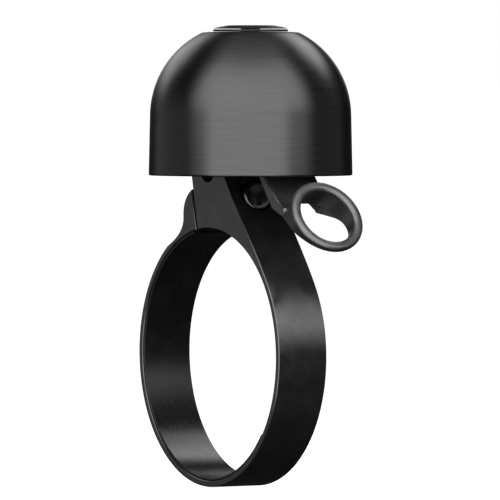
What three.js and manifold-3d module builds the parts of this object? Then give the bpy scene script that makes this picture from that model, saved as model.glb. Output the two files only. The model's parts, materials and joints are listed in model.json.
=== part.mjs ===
// Bicycle bell with a thumb loop, for a 31.8 mm handlebar. Millimetres, +Z up.
// Origin: centre of the handlebar bore, half-way along it. +Y runs along the handlebar,
// and +X points from the dome's tower towards the thumb loop.
import * as THREE from "three";
import { mergeVertices } from "three/addons/utils/BufferGeometryUtils.js";
import Module from "manifold-3d";

const wasm = await Module();
wasm.setup();

// ---------------------------------------------------------------- driving dimensions

const FIT = 0.1; // gap between pieces that fit together
const SEAT = 0.15; // gap between faces that rest on each other
const RUNNING = 0.08; // radial clearance of a turning fit
const POCKET_PLAY = 0.3; // clearance round the bracket's tongue
const PAST = 1; // how far a cutter runs past the face that it opens

// Handlebar clamp: a thin band, a tower that carries the bell and an ear across the split.
const BORE_RADIUS = 15.9;
const BAND_THICKNESS = 0.8;
const BAND_RADIUS = BORE_RADIUS + BAND_THICKNESS;
const BAND_WIDTH = 7.1;
const HALF_WIDTH = BAND_WIDTH / 2;
const LINER_THICKNESS = 0.25;
const LINER_INSET = 0.15; // from the band's side faces
const LINER_START = 104; // degrees round the bore from +X
const LINER_END = 322;

const TOWER_TOP = 27;
const TOWER_RIGHT = 3.9;
const TOWER_NECK = 22.6; // height where the tower starts to flare into the band
const FLARE_ANGLE = 34; // where the flare meets the band, degrees round the bore
const FLARE_HANDLE = 7;
const FLARE_SIDE = [6.2, 18.8]; // control point half-way down the flare
const SPLIT_TOP = [-3.97, 22.4];
const SPLIT_FOOT_X = -2.5;
const SPLIT_GAP = 0.35;
const EAR_ANGLE = 126;
const EAR_SIDE_X = -6.0;
const EAR_SIDE_Z = [16.9, 17.6]; // straight stretch of the ear's outer side
const EAR_FOOT_BEND = [-6.2, 15.1];
const EAR_TOP_BEND = [-5.95, 19.7];
const EAR_TOP = [-3.62, 20.75];

// Clamp bolt: it crosses the split at a right angle, so it leans by the split's own angle.
// Lengths along the bolt are from its head's outer face, negative towards the ear.
const BOLT_HEAD = new THREE.Vector3(6.3, 0, 20.2); // centre of the head's outer face
const BOLT_LEAN = Math.atan2(SPLIT_FOOT_X - SPLIT_TOP[0], SPLIT_TOP[1] - 15.7);
const BOLT_HEAD_RADIUS = 2.0;
const BOLT_HEAD_LENGTH = 2.3;
const BOLT_SHANK_RADIUS = 1.2;
const BOLT_LENGTH = 9.6;
const BOLT_EDGE = 0.3;
const BOLT_KEY = 1.4; // corner radius of the hexagon socket
const BOLT_KEY_DEPTH = 1.4;
const BOLT_WASHER_THICKNESS = 0.4;
const COUNTERBORE_RADIUS = 2.2;
const COUNTERBORE_END = -3.1;
const BOLT_HOLE_RADIUS = 1.35;
const BOLT_HOLE_END = -9.9;
const INSERT_RADIUS = 1.7;
const INSERT_LENGTH = 2.0;
const INSERT_FOOT = -11.95;
const INSERT_HOLE_END = -9.7;

// Dome: a turned cup on its own axis, off to the loop's side of the bar.
const DOME_X = 4.46;
const DOME_RIM_Z = 22.57;
const DOME_RIM_RADIUS = 12.8;
const DOME_WAIST_RADIUS = 12.65;
const DOME_WAIST_Z = 30;
const DOME_SHOULDER_RADIUS = 11.68;
const DOME_CREASE_Z = 40.5;
const DOME_CROWN_Z = 40.6;
const DOME_WALL = 1.5;
const DOME_HOLE_RADIUS = 2.2;
const DOME_EDGE = 0.25;

// Crown screw and the stack that holds the dome, from the top down. Pairs are [foot, top] heights.
const CROWN_HEAD_RADIUS = 4.6;
const CROWN_TOP_RADIUS = 2.8;
const CROWN_HEAD_Z = [41, 41.42];
const CROWN_SHANK_RADIUS = 1.2;
const CROWN_SHANK_FOOT = 35.6;
const CROWN_KEY = 1.0;
const CROWN_KEY_DEPTH = 1.2;
const GASKET = { radius: 4.7, z: [40.65, 40.9] };
const BUSHING = { radius: 2.1, z: [39.1, 40.55] };
const ISOLATOR = { radius: 2.9, z: [38.4, 39] };
const POST_RADIUS = 2.6;
const POST_STUB_RADIUS = 1.9;
const POST_Z = [33, 38.3];
const POST_THREAD_FOOT = 35.3;
const PLATFORM_Z = [34.6, 36.2];
const LOCK_WASHER = { radius: 2.7, z: [34.35, 34.5] };
const LOCKNUT = { radius: 2.85, z: [33.2, 34.25] };

// Inner bracket: a tongue in the tower, a wall, a platform for the post and two hinge ears.
const TONGUE = { left: -2.1, right: 1.9, half: 1.2, foot: 21.8 };
const WALL_RIGHT = 1.4;
const WEB = { left: 1, right: 6.3 };
const PLATFORM_RIGHT = 7.3;
const CROSSBAR = { left: 4.6, height: 1.1 };
const BRACKET_HALF = 2.45;
const EAR_INNER = 1.45;
const EAR_RADIUS = 1.9;
const BRACKET_FOOT = 27.3;
const CROSS_HOLE = { x: -0.1, z: 23.4, radius: 1.65, depth: 1.6, thread: 0.9 };
const CROSS_SCREW = { sunk: 0.9, key: 0.75, keyDepth: 0.35, short: 0.2 };

// Striker: a strip on a cross pin, bent out under the rim and ending in the thumb loop.
const PIVOT = new THREE.Vector3(7, 0, 30.5);
const STRIP_LEAN = 37; // degrees from the vertical
const STRIP_THICKNESS = 1.3;
const STRIP_HALF = 3.75;
const LUG_INNER = 2.75;
const LUG_RADIUS = 1.8;
const FORK_DEPTH = 2.6;
// Where the strip turns out into the loop: X and Z of the bend, and distances down from the pivot.
const STRIP_BEND = {
  left: 15.2,
  right: 19.6,
  foot: 12,
  inner: 13.2,
  outer: 10.4,
  end: [19.6, 18.9],
  top: [[18.6, 18.45], [16.2, 19.6]],
};
const LOOP_CENTRE = new THREE.Vector3(22.6, 0, 17.9);
const LOOP_TILT = 32.3; // the loop's axis above +X, degrees
const LOOP_RADIUS = 5.05;
const LOOP_HOLE_RADIUS = 3.66;
const LOOP_BACK_RADIUS = 4.45;
const LOOP_DEPTH = 6.2;
const RELIEF = { right: 18.1, half: 2.2, top: 19.25, corner: 0.8 }; // opening through the strip's bend

const PIN_RADIUS = 0.75;
const PIN_HEAD = { radius: 1.3, gap: 0.2, length: 0.55, edge: 0.1 };
const PIN_GROOVE = { depth: 0.25, gap: 0.3, width: 0.45, end: 0.8 }; // along the pin from the lug's face
const CLIP = { radius: 1.5, gap: 0.05, thickness: 0.35, halfMouth: 0.45, play: 0.08 };
const BUSH_RADIUS = 1.25;
const BUSH_FLANGE = { radius: 1.7, gap: 0.05, thickness: 0.15 };
const SPRING_WIRE = 0.25;
const SPRING_RADIUS = 1.25;
const SPRING_TURNS = 3;
const SPRING_HALF = 0.95;
const SPRING_WALL_LEG = 6.2;
const SPRING_STRIP_LEG = 4.6;
const SPRING_LEG_HOLE = [2.5, 5.1]; // along X from the bracket's left side
const SPRING_LEG_SHARE = 0.18; // share of the path's parameter that each leg takes
const BUMPER = { y: -0.9, height: 0.55, radius: 0.85, side: 0.75, tip: 0.6, length: 1 };
const HAMMER_RADIUS = 1.5;
const HAMMER_REACH = 2.0; // from the strip's outer face to the centre of the hammer's round tip
const HAMMER_DROP = 7.9; // from the pivot, along the strip
const HAMMER_TAIL = { radius: 0.8, length: 2.1 };
const COLLAR = { radius: 1.5, thickness: 0.5 };

const ROUND = 20; // sides of a small round piece

// ---------------------------------------------------------------- helpers

const radians = THREE.MathUtils.degToRad;

const leaning = (angle) => new THREE.Vector3(Math.cos(angle), 0, Math.sin(angle));

const NORMAL_TO_STRIP = leaning(radians(STRIP_LEAN));
const ALONG_STRIP = leaning(radians(STRIP_LEAN - 90));
const LOOP_AXIS = leaning(radians(LOOP_TILT));
const BOLT_AXIS = leaning(BOLT_LEAN);
const ACROSS = new THREE.Vector3(0, 1, 0);
const FORWARD = new THREE.Vector3(1, 0, 0);
const UP = new THREE.Vector3(0, 0, 1);
const DOME_FOOT = new THREE.Vector3(DOME_X, 0, 0);
const CROSS_CENTRE = new THREE.Vector3(CROSS_HOLE.x, 0, CROSS_HOLE.z);
const HAMMER_FOOT = PIVOT.clone()
  .addScaledVector(ALONG_STRIP, HAMMER_DROP)
  .addScaledVector(NORMAL_TO_STRIP, STRIP_THICKNESS / 2);

function solid(geometry) {
  const bare = geometry.clone();
  bare.deleteAttribute("normal");
  bare.deleteAttribute("uv");
  const merged = mergeVertices(bare, 1e-4);
  const vertProperties = Float32Array.from(merged.attributes.position.array);
  const triVerts = Uint32Array.from(merged.index.array);
  return new wasm.Manifold(new wasm.Mesh({ numProp: 3, vertProperties, triVerts }));
}

function geometryOf(body) {
  const mesh = body.getMesh();
  const geometry = new THREE.BufferGeometry();
  geometry.setAttribute("position", new THREE.BufferAttribute(Float32Array.from(mesh.vertProperties), 3));
  geometry.setIndex(new THREE.BufferAttribute(Uint32Array.from(mesh.triVerts), 1));
  return geometry;
}

// Turns a geometry built round +Y so that it lies along axis, and moves its origin to at.
function aim(geometry, at, axis) {
  const turn = new THREE.Quaternion().setFromUnitVectors(ACROSS, axis.clone().normalize());
  return geometry.applyQuaternion(turn).translate(at.x, at.y, at.z);
}

// A solid of revolution: profile is [radius, height] points along axis from at.
function turned(profile, at, axis, sides = ROUND) {
  const points = profile.map(([radius, height]) => new THREE.Vector2(radius, height));
  return solid(aim(new THREE.LatheGeometry(points, sides), at, axis));
}

function rod(at, axis, from, to, radius, sides = ROUND) {
  return turned([[0, from], [radius, from], [radius, to], [0, to]], at, axis, sides);
}

function washer(at, axis, from, to, hole, radius, sides = ROUND) {
  const profile = [[hole, from], [radius, from], [radius, to], [hole, to], [hole, from]];
  return turned(profile, at, axis, sides);
}

function hexNut(at, axis, from, to, hole, radius) {
  return rod(at, axis, from, to, radius, 6).subtract(rod(at, axis, from - 1, to + 1, hole));
}

// A plate with its outline in X and Z, from one Y to another.
function plate(outline, fromY, toY) {
  const shape = new THREE.Shape(outline.map(([x, z]) => new THREE.Vector2(x, z)));
  const geometry = new THREE.ExtrudeGeometry(shape, { depth: toY - fromY, bevelEnabled: false });
  return solid(geometry.rotateX(Math.PI / 2).translate(0, toY, 0));
}

function block(x0, x1, y0, y1, z0, z1) {
  const geometry = new THREE.BoxGeometry(x1 - x0, y1 - y0, z1 - z0);
  return solid(geometry.translate((x0 + x1) / 2, (y0 + y1) / 2, (z0 + z1) / 2));
}

function arc(centre, radius, fromDegrees, toDegrees, steps) {
  const points = [];
  for (let i = 0; i <= steps; i += 1) {
    const angle = radians(fromDegrees + ((toDegrees - fromDegrees) * i) / steps);
    points.push([centre[0] + radius * Math.cos(angle), centre[1] + radius * Math.sin(angle)]);
  }
  return points;
}

function curve(ends, steps) {
  const corners = ends.map(([x, z]) => new THREE.Vector2(x, z));
  const line = corners.length === 4
    ? new THREE.CubicBezierCurve(...corners)
    : new THREE.QuadraticBezierCurve(...corners);
  return line.getPoints(steps).map((point) => [point.x, point.y]);
}

function onCircle(radius, degrees) {
  return [radius * Math.cos(radians(degrees)), radius * Math.sin(radians(degrees))];
}

function onBore(x) {
  return [x, Math.sqrt(BORE_RADIUS ** 2 - x ** 2)];
}

// A ring on the dome's own axis.
function stackRing({ radius, z }, hole, sides) {
  return washer(DOME_FOOT, UP, z[0], z[1], hole, radius, sides);
}

// ---------------------------------------------------------------- clamp

function clampOutline() {
  const splitShift = SPLIT_GAP / Math.cos(BOLT_LEAN);
  const flareEnd = onCircle(BAND_RADIUS, FLARE_ANGLE);
  const flareHandle = [
    flareEnd[0] - FLARE_HANDLE * Math.sin(radians(FLARE_ANGLE)),
    flareEnd[1] + FLARE_HANDLE * Math.cos(radians(FLARE_ANGLE)),
  ];
  const flare = curve([[TOWER_RIGHT, TOWER_NECK], FLARE_SIDE, flareHandle, flareEnd], 9);
  const band = arc([0, 0], BAND_RADIUS, FLARE_ANGLE, EAR_ANGLE - 360, 56).slice(1, -1);
  const earSide = EAR_SIDE_Z.map((z) => [EAR_SIDE_X, z]);
  const earFoot = curve([onCircle(BAND_RADIUS, EAR_ANGLE), EAR_FOOT_BEND, earSide[0]], 5);
  const earTop = curve([earSide[1], EAR_TOP_BEND, [EAR_TOP[0] - splitShift, EAR_TOP[1]]], 6);
  const tower = [onBore(SPLIT_FOOT_X), SPLIT_TOP, [SPLIT_TOP[0], TOWER_TOP], [TOWER_RIGHT, TOWER_TOP]];
  const splitFoot = onBore(SPLIT_FOOT_X - splitShift);
  const startAngle = THREE.MathUtils.radToDeg(Math.atan2(splitFoot[1], splitFoot[0]));
  const endAngle = THREE.MathUtils.radToDeg(Math.atan2(tower[0][1], tower[0][0])) + 360;
  const bore = arc([0, 0], BORE_RADIUS, startAngle, endAngle, 72).slice(0, -1);
  return [...tower, ...flare, ...band, ...earFoot, ...earTop, ...bore];
}

function clampBody() {
  const recess = HALF_WIDTH - CROSS_HOLE.depth;
  const pocketHalf = TONGUE.half + POCKET_PLAY;
  const cuts = [
    rod(BOLT_HEAD, BOLT_AXIS, COUNTERBORE_END, BORE_RADIUS, COUNTERBORE_RADIUS, 24),
    rod(BOLT_HEAD, BOLT_AXIS, BOLT_HOLE_END, 0, BOLT_HOLE_RADIUS),
    rod(BOLT_HEAD, BOLT_AXIS, -BORE_RADIUS, INSERT_HOLE_END, INSERT_RADIUS + FIT),
    block(TONGUE.left - POCKET_PLAY, TONGUE.right + POCKET_PLAY, -pocketHalf, pocketHalf,
      TONGUE.foot - POCKET_PLAY, TOWER_TOP + PAST),
    rod(CROSS_CENTRE, ACROSS, -HALF_WIDTH - PAST, -recess, CROSS_HOLE.radius),
    rod(CROSS_CENTRE, ACROSS, -HALF_WIDTH - PAST, HALF_WIDTH + PAST, CROSS_HOLE.thread + FIT),
  ];
  return cuts.reduce((body, cut) => body.subtract(cut), plate(clampOutline(), -HALF_WIDTH, HALF_WIDTH));
}

function clampLiner() {
  const radius = BORE_RADIUS - FIT / 2;
  const outer = arc([0, 0], radius, LINER_START, LINER_END, 44);
  const inner = arc([0, 0], radius - LINER_THICKNESS, LINER_END, LINER_START, 44);
  return plate([...outer, ...inner], LINER_INSET - HALF_WIDTH, HALF_WIDTH - LINER_INSET);
}

function clampBolt() {
  const seat = -BOLT_HEAD_LENGTH;
  const profile = [
    [0, seat - BOLT_LENGTH],
    [BOLT_SHANK_RADIUS - BOLT_EDGE, seat - BOLT_LENGTH],
    [BOLT_SHANK_RADIUS, seat - BOLT_LENGTH + BOLT_EDGE],
    [BOLT_SHANK_RADIUS, seat],
    [BOLT_HEAD_RADIUS, seat],
    [BOLT_HEAD_RADIUS, -BOLT_EDGE],
    [BOLT_HEAD_RADIUS - BOLT_EDGE, 0],
    [0, 0],
  ];
  const socket = rod(BOLT_HEAD, BOLT_AXIS, -BOLT_KEY_DEPTH, PAST, BOLT_KEY, 6);
  return turned(profile, BOLT_HEAD, BOLT_AXIS, 24).subtract(socket);
}

function clampBoltWasher() {
  const top = -BOLT_HEAD_LENGTH - SEAT;
  const hole = BOLT_SHANK_RADIUS + FIT;
  return washer(BOLT_HEAD, BOLT_AXIS, top - BOLT_WASHER_THICKNESS, top, hole, BOLT_HEAD_RADIUS, 24);
}

function clampThreadInsert() {
  const hole = BOLT_SHANK_RADIUS + FIT;
  return washer(BOLT_HEAD, BOLT_AXIS, INSERT_FOOT, INSERT_FOOT + INSERT_LENGTH, hole, INSERT_RADIUS);
}

// ---------------------------------------------------------------- dome and crown

// Shoulder arc about the dome's own centre: [radius from the axis, height].
function shoulder(arcRadius, topZ, steps) {
  const centre = [DOME_WAIST_RADIUS - DOME_SHOULDER_RADIUS, DOME_WAIST_Z];
  const last = THREE.MathUtils.radToDeg(Math.asin((topZ - DOME_WAIST_Z) / arcRadius));
  return arc(centre, arcRadius, 0, last, steps);
}

function bellDome() {
  const innerTop = DOME_CROWN_Z - DOME_WALL;
  const outside = [
    [DOME_RIM_RADIUS - DOME_EDGE, DOME_RIM_Z],
    [DOME_RIM_RADIUS, DOME_RIM_Z + DOME_EDGE],
    ...shoulder(DOME_SHOULDER_RADIUS, DOME_CREASE_Z, 10),
    [CROWN_HEAD_RADIUS, DOME_CROWN_Z],
    [DOME_HOLE_RADIUS, DOME_CROWN_Z],
  ];
  const inside = [
    [DOME_HOLE_RADIUS, innerTop],
    ...shoulder(DOME_SHOULDER_RADIUS - DOME_WALL, innerTop, 7).reverse(),
    [DOME_RIM_RADIUS - DOME_WALL, DOME_RIM_Z + DOME_EDGE],
    [DOME_RIM_RADIUS - DOME_WALL + DOME_EDGE, DOME_RIM_Z],
  ];
  return turned([...outside, ...inside, outside[0]], DOME_FOOT, UP, 56);
}

function crownScrew() {
  const [foot, top] = CROWN_HEAD_Z;
  const profile = [
    [0, CROWN_SHANK_FOOT],
    [CROWN_SHANK_RADIUS, CROWN_SHANK_FOOT],
    [CROWN_SHANK_RADIUS, foot],
    [CROWN_HEAD_RADIUS - FIT, foot],
    [CROWN_HEAD_RADIUS, foot + FIT],
    [(CROWN_HEAD_RADIUS + CROWN_TOP_RADIUS) / 2, top - FIT],
    [CROWN_TOP_RADIUS, top],
    [0, top],
  ];
  const socket = rod(DOME_FOOT, UP, top - CROWN_KEY_DEPTH, top + PAST, CROWN_KEY, 6);
  return turned(profile, DOME_FOOT, UP, 32).subtract(socket);
}

function domePost() {
  const [foot, top] = POST_Z;
  const shelf = PLATFORM_Z[1] + SEAT;
  const body = [
    [0, foot],
    [POST_STUB_RADIUS, foot],
    [POST_STUB_RADIUS, shelf],
    [POST_RADIUS, shelf],
    [POST_RADIUS, top],
    [0, top],
  ];
  const thread = rod(DOME_FOOT, UP, POST_THREAD_FOOT, top + PAST, CROWN_SHANK_RADIUS + FIT);
  return turned(body, DOME_FOOT, UP).subtract(thread);
}

// ---------------------------------------------------------------- bracket and hinge

function bracketWeb() {
  const foot = PIVOT.z - EAR_RADIUS;
  const top = PIVOT.z + EAR_RADIUS;
  return [
    [WEB.left, BRACKET_FOOT],
    [WEB.right, BRACKET_FOOT],
    [WEB.right, foot],
    [PIVOT.x, foot],
    ...arc([PIVOT.x, PIVOT.z], EAR_RADIUS, -80, 80, 8),
    [PIVOT.x, top],
    [WEB.left, top],
  ];
}

function innerBracket() {
  const [shelf, top] = PLATFORM_Z;
  const corner = 0.5;
  const platform = [
    [TONGUE.left, shelf],
    [PLATFORM_RIGHT - corner, shelf],
    [PLATFORM_RIGHT, shelf + corner],
    [PLATFORM_RIGHT, top],
    [TONGUE.left + corner, top],
    [TONGUE.left, top - corner],
  ];
  const half = BRACKET_HALF;
  const parts = [
    block(TONGUE.left, TONGUE.right, -TONGUE.half, TONGUE.half, TONGUE.foot, BRACKET_FOOT + corner),
    block(TONGUE.left, WALL_RIGHT, -half, half, BRACKET_FOOT, shelf + corner),
    plate(platform, -half, half),
    plate(bracketWeb(), -half, -EAR_INNER),
    plate(bracketWeb(), EAR_INNER, half),
    block(CROSSBAR.left, WEB.right, -half, half, BRACKET_FOOT, BRACKET_FOOT + CROSSBAR.height),
  ];
  const legHole = new THREE.Vector3(TONGUE.left, -SPRING_HALF, PIVOT.z - SPRING_RADIUS);
  const through = half + PAST;
  const cuts = [
    rod(PIVOT, ACROSS, -through, through, BUSH_RADIUS + FIT),
    rod(CROSS_CENTRE, ACROSS, -through, through, CROSS_HOLE.thread + FIT),
    rod(DOME_FOOT, UP, shelf - PAST, top + PAST, POST_STUB_RADIUS + FIT),
    rod(legHole, FORWARD, SPRING_LEG_HOLE[0], SPRING_LEG_HOLE[1], SPRING_WIRE + SEAT, 10),
  ];
  const whole = parts.reduce((body, piece) => body.add(piece));
  return cuts.reduce((body, cut) => body.subtract(cut), whole);
}

function bracketScrew() {
  const headFoot = CROSS_HOLE.depth - HALF_WIDTH - SEAT;
  const headTop = CROSS_SCREW.sunk - HALF_WIDTH;
  const head = CROSS_HOLE.radius - SEAT;
  const tip = HALF_WIDTH - CROSS_SCREW.short;
  const profile = [
    [0, headTop],
    [head, headTop],
    [head, headFoot],
    [CROSS_HOLE.thread, headFoot],
    [CROSS_HOLE.thread, tip],
    [0, tip],
  ];
  const key = rod(CROSS_CENTRE, ACROSS, headTop - PAST, headTop + CROSS_SCREW.keyDepth, CROSS_SCREW.key, 6);
  return turned(profile, CROSS_CENTRE, ACROSS).subtract(key);
}

function pivotPin() {
  const headInner = -STRIP_HALF - PIN_HEAD.gap;
  const headOuter = headInner - PIN_HEAD.length;
  const groove = STRIP_HALF + PIN_GROOVE.gap;
  const grooveEnd = groove + PIN_GROOVE.width;
  const end = groove + PIN_GROOVE.end;
  const profile = [
    [0, headOuter],
    [PIN_HEAD.radius - PIN_HEAD.edge, headOuter],
    [PIN_HEAD.radius, headOuter + PIN_HEAD.edge],
    [PIN_HEAD.radius, headInner],
    [PIN_RADIUS, headInner],
    [PIN_RADIUS, groove],
    [PIN_RADIUS - PIN_GROOVE.depth, groove],
    [PIN_RADIUS - PIN_GROOVE.depth, grooveEnd],
    [PIN_RADIUS, grooveEnd],
    [PIN_RADIUS, end],
    [0, end],
  ];
  return turned(profile, PIVOT, ACROSS);
}

function pivotClip() {
  const from = STRIP_HALF + PIN_GROOVE.gap + CLIP.gap;
  const hole = PIN_RADIUS - PIN_GROOVE.depth + CLIP.play;
  const ring = washer(PIVOT, ACROSS, from, from + CLIP.thickness, hole, CLIP.radius);
  const mouth = block(PIVOT.x - CLIP.halfMouth, PIVOT.x + CLIP.halfMouth, from - PAST, from + PAST,
    PIVOT.z, PIVOT.z + CLIP.radius + PAST);
  return ring.subtract(mouth);
}

// A plain bush with a flange on the outer side of its bracket ear; side is -1 or 1 along Y.
function pivotBush(side) {
  const axis = ACROSS.clone().multiplyScalar(side);
  const hole = PIN_RADIUS + RUNNING;
  const flange = BRACKET_HALF + BUSH_FLANGE.gap;
  const end = flange + BUSH_FLANGE.thickness;
  const profile = [
    [hole, EAR_INNER],
    [BUSH_RADIUS, EAR_INNER],
    [BUSH_RADIUS, flange],
    [BUSH_FLANGE.radius, flange],
    [BUSH_FLANGE.radius, end],
    [hole, end],
    [hole, EAR_INNER],
  ];
  return turned(profile, PIVOT, axis);
}

// Torsion spring: one leg in a hole in the bracket's wall, the other behind the strip.
class SpringPath extends THREE.Curve {
  constructor() {
    super();
    this.legShare = SPRING_LEG_SHARE;
    this.start = radians(270);
    this.sweep = radians(STRIP_LEAN - 90 + 360 * SPRING_TURNS);
  }

  coil(share) {
    const angle = this.start + this.sweep * share;
    return new THREE.Vector3(
      PIVOT.x + SPRING_RADIUS * Math.cos(angle),
      SPRING_HALF * (2 * share - 1),
      PIVOT.z + SPRING_RADIUS * Math.sin(angle),
    );
  }

  getPoint(t, target = new THREE.Vector3()) {
    if (t < this.legShare) {
      const back = SPRING_WALL_LEG * (1 - t / this.legShare);
      return target.copy(this.coil(0)).add(new THREE.Vector3(-back, 0, 0));
    }
    if (t > 1 - this.legShare) {
      const out = (SPRING_STRIP_LEG * (t - 1 + this.legShare)) / this.legShare;
      return target.copy(this.coil(1)).addScaledVector(ALONG_STRIP, out);
    }
    return target.copy(this.coil((t - this.legShare) / (1 - 2 * this.legShare)));
  }
}

function returnSpring() {
  const section = new THREE.Shape();
  section.absarc(0, 0, SPRING_WIRE, 0, 2 * Math.PI);
  const geometry = new THREE.ExtrudeGeometry(section, {
    steps: 84, curveSegments: 4, bevelEnabled: false, extrudePath: new SpringPath(),
  });
  return solid(geometry);
}

function stopBumper() {
  const at = new THREE.Vector3(WEB.right, BUMPER.y, BRACKET_FOOT + BUMPER.height);
  const tipStart = BUMPER.length - FIT / 2;
  const profile = [
    [0, SEAT],
    [BUMPER.radius, SEAT],
    [BUMPER.radius, BUMPER.side],
    [BUMPER.tip, tipStart],
    [0, BUMPER.length],
  ];
  return turned(profile, at, FORWARD, 16);
}

// ---------------------------------------------------------------- striker

// Underside of the strip and loop, from the strip's bend to the loop's far end.
function undersideCurve() {
  const corners = [
    [14.55, 19.3],
    [15.0, 18.75],
    [15.76, 18.34],
    [17.2, 17.75],
    [19.5, 17.0],
    [21.3, 15.8],
    [22.85, 14.7],
    [24.4, 13.1],
    [25.6, 11.4],
  ];
  return new THREE.SplineCurve(corners.map(([x, z]) => new THREE.Vector2(x, z)));
}

// A point on the strip in X and Z: distance down from the pivot, offset out from its middle plane.
function onStrip(distance, offset) {
  const point = PIVOT.clone().addScaledVector(ALONG_STRIP, distance).addScaledVector(NORMAL_TO_STRIP, offset);
  return [point.x, point.z];
}

function stripOutline() {
  const half = STRIP_THICKNESS / 2;
  const underside = undersideCurve().getPoints(24).map((point) => [point.x, point.y]);
  const bend = underside.filter(([x]) => x > STRIP_BEND.left && x < STRIP_BEND.right);
  const inner = [onStrip(0, -half), onStrip(STRIP_BEND.inner, -half), ...bend];
  const top = curve([...STRIP_BEND.top, onStrip(STRIP_BEND.outer, half)], 6);
  return [...inner, STRIP_BEND.end, ...top, onStrip(0, half)];
}

function loopTube() {
  const profile = [
    [LOOP_HOLE_RADIUS, -0.45],
    [LOOP_HOLE_RADIUS, -LOOP_DEPTH],
    [LOOP_BACK_RADIUS - 0.35, -LOOP_DEPTH],
    [LOOP_BACK_RADIUS + 0.25, -2.6],
    [LOOP_RADIUS, -0.55],
    [LOOP_RADIUS - 0.13, -0.2],
    [LOOP_RADIUS - 0.5, 0],
    [LOOP_HOLE_RADIUS + 0.4, 0],
    [LOOP_HOLE_RADIUS + 0.08, -0.15],
  ];
  return turned([...profile, profile[0]], LOOP_CENTRE, LOOP_AXIS, 40);
}

// The opening that carries the loop's hole on through the strip's bend.
function bendRelief() {
  const { right, half, top, corner } = RELIEF;
  const left = STRIP_BEND.left - 2 * PAST;
  const foot = STRIP_BEND.foot;
  const flat = half - corner;
  const round = (y) => rod(new THREE.Vector3(0, y, top - corner), FORWARD, left, right, corner);
  const middle = block(left, right, -flat, flat, foot, top);
  return middle.add(block(left, right, -half, half, foot, top - corner)).add(round(-flat)).add(round(flat));
}

// Cutting near-tangent faces can leave crumbs, so only the piece itself is kept.
function largest(body) {
  const pieces = body.decompose();
  return pieces.reduce((best, piece) => (piece.volume() > best.volume() ? piece : best));
}

function strikerLever() {
  const below = undersideCurve().getPoints(16).map((point) => [point.x, point.y]);
  const [left, right] = [10, below[below.length - 1][0]];
  const waste = plate([[left, below[0][1]], ...below, [right, 5], [left, 5]].reverse(), -8, 8);
  const loop = loopTube().subtract(waste);
  const strip = plate(stripOutline(), -STRIP_HALF, STRIP_HALF);
  const lug = rod(PIVOT, ACROSS, -STRIP_HALF, STRIP_HALF, LUG_RADIUS, 24);
  const hole = rod(LOOP_CENTRE, LOOP_AXIS, -10, 5, LOOP_HOLE_RADIUS, 40);
  const fork = rod(PIVOT, ACROSS, -LUG_INNER, LUG_INNER, FORK_DEPTH, 24);
  const pinHole = rod(PIVOT, ACROSS, -STRIP_HALF - PAST, STRIP_HALF + PAST, PIN_RADIUS + RUNNING);
  const tailHole = rod(HAMMER_FOOT, NORMAL_TO_STRIP, -3, PAST, HAMMER_TAIL.radius + FIT, 12);
  const lever = strip.add(lug).subtract(fork).subtract(pinHole).subtract(tailHole)
    .add(loop)
    .subtract(hole)
    .subtract(bendRelief());
  return largest(lever);
}

function hammer() {
  const tip = arc([0, HAMMER_REACH], HAMMER_RADIUS, 0, 90, 5).slice(1, -1);
  const profile = [
    [0, -HAMMER_TAIL.length],
    [HAMMER_TAIL.radius, -HAMMER_TAIL.length],
    [HAMMER_TAIL.radius, SEAT],
    [HAMMER_RADIUS, SEAT],
    [HAMMER_RADIUS, HAMMER_REACH],
    ...tip,
    [0, HAMMER_REACH + HAMMER_RADIUS],
  ];
  return turned(profile, HAMMER_FOOT, NORMAL_TO_STRIP);
}

function hammerCollar() {
  const top = -STRIP_THICKNESS - SEAT;
  const hole = HAMMER_TAIL.radius + FIT;
  return washer(HAMMER_FOOT, NORMAL_TO_STRIP, top - COLLAR.thickness, top, hole, COLLAR.radius);
}

// ---------------------------------------------------------------- assembly

const FINISHES = {
  anodised: { color: 0x1b1b1c, roughness: 0.45, metalness: 0.75 },
  dome: { color: 0x262627, roughness: 0.35, metalness: 0.85 },
  steel: { color: 0x8d9094, roughness: 0.3, metalness: 0.95 },
  blackSteel: { color: 0x17171a, roughness: 0.35, metalness: 0.85 },
  brass: { color: 0xb08d48, roughness: 0.35, metalness: 0.9 },
  nylon: { color: 0x2a2a2a, roughness: 0.6, metalness: 0 },
  rubber: { color: 0x151515, roughness: 0.85, metalness: 0 },
};

const group = new THREE.Group();

function addPiece(name, body, finish) {
  const mesh = new THREE.Mesh(geometryOf(body), new THREE.MeshStandardMaterial(FINISHES[finish]));
  mesh.name = name;
  group.add(mesh);
}

const CROWN_HOLE = CROWN_SHANK_RADIUS + FIT;
const STUB_HOLE = POST_STUB_RADIUS + FIT;

addPiece("clamp_body", clampBody(), "anodised");
addPiece("clamp_liner", clampLiner(), "rubber");
addPiece("clamp_bolt", clampBolt(), "blackSteel");
addPiece("clamp_bolt_washer", clampBoltWasher(), "steel");
addPiece("clamp_thread_insert", clampThreadInsert(), "steel");

addPiece("inner_bracket", innerBracket(), "anodised");
addPiece("bracket_screw", bracketScrew(), "blackSteel");
addPiece("dome_post", domePost(), "steel");
addPiece("post_lock_washer", stackRing(LOCK_WASHER, STUB_HOLE), "steel");
addPiece("post_locknut", hexNut(DOME_FOOT, UP, ...LOCKNUT.z, STUB_HOLE, LOCKNUT.radius), "steel");

addPiece("bell_dome", bellDome(), "dome");
addPiece("dome_isolator", stackRing(ISOLATOR, CROWN_HOLE, 24), "rubber");
addPiece("crown_bushing", stackRing(BUSHING, CROWN_HOLE, 24), "nylon");
addPiece("crown_gasket", stackRing(GASKET, CROWN_HOLE, 32), "nylon");
addPiece("crown_screw", crownScrew(), "blackSteel");

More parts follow.
